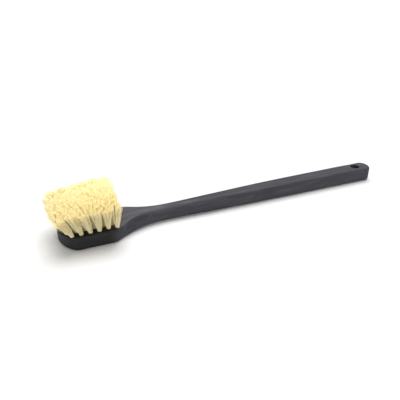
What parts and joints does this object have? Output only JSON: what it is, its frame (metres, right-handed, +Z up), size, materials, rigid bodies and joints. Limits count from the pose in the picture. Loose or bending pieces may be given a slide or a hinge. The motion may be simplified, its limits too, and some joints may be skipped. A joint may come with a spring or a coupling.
{
  "type": "long-handled utility brush",
  "caption": "Long-handled brush: one-piece moulded plastic handle and block with a hanging hole, and staple-set tufts of pale natural fibre.",
  "frame": {"origin": "bottom centre of the whole brush, lying on its back with the bristles up", "axes": "+X along the handle towards the hanging end, +Z up through the bristles, +Y across the brush"},
  "size_m": [0.5218, 0.1004, 0.0625],
  "materials": {
    "charcoal_plastic": "satin, moulded, with faint lengthwise streaks",
    "tampico_fibre": "pale straw-coloured natural plant fibre",
    "staple_wire": "plain drawn wire"
  },
  "bodies": {
    "root": {"handle_block": "charcoal_plastic", "tuft_row1_1": "tampico_fibre", "tuft_row1_2": "tampico_fibre", "tuft_row1_3": "tampico_fibre", "tuft_row1_4": "tampico_fibre", "tuft_row1_5": "tampico_fibre", "tuft_row1_6": "tampico_fibre", "tuft_row2_1": "tampico_fibre", "tuft_row2_2": "tampico_fibre", "tuft_row2_3": "tampico_fibre", "tuft_row2_4": "tampico_fibre", "tuft_row2_5": "tampico_fibre", "tuft_row2_6": "tampico_fibre", "tuft_row3_1": "tampico_fibre", "tuft_row3_2": "tampico_fibre", "tuft_row3_3": "tampico_fibre", "tuft_row3_4": "tampico_fibre", "tuft_row3_5": "tampico_fibre", "tuft_row3_6": "tampico_fibre", "tuft_row4_1": "tampico_fibre", "tuft_row4_2": "tampico_fibre", "tuft_row4_3": "tampico_fibre", "tuft_row4_4": "tampico_fibre", "tuft_row4_5": "tampico_fibre", "tuft_row4_6": "tampico_fibre", "tuft_row5_1": "tampico_fibre", "tuft_row5_2": "tampico_fibre", "tuft_row5_3": "tampico_fibre", "tuft_row5_4": "tampico_fibre", "tuft_row5_5": "tampico_fibre", "tuft_row5_6": "tampico_fibre", "tuft_row6_1": "tampico_fibre", "tuft_row6_2": "tampico_fibre", "tuft_row6_3": "tampico_fibre", "tuft_row6_4": "tampico_fibre", "tuft_row6_5": "tampico_fibre", "tuft_row6_6": "tampico_fibre", "tuft_row7_1": "tampico_fibre", "tuft_row7_2": "tampico_fibre", "tuft_row7_3": "tampico_fibre", "tuft_row7_4": "tampico_fibre", "tuft_row7_5": "tampico_fibre", "tuft_row7_6": "tampico_fibre", "staples_row1": "staple_wire", "staples_row2": "staple_wire", "staples_row3": "staple_wire", "staples_row4": "staple_wire", "staples_row5": "staple_wire", "staples_row6": "staple_wire", "staples_row7": "staple_wire"}
  },
  "joints": []
}
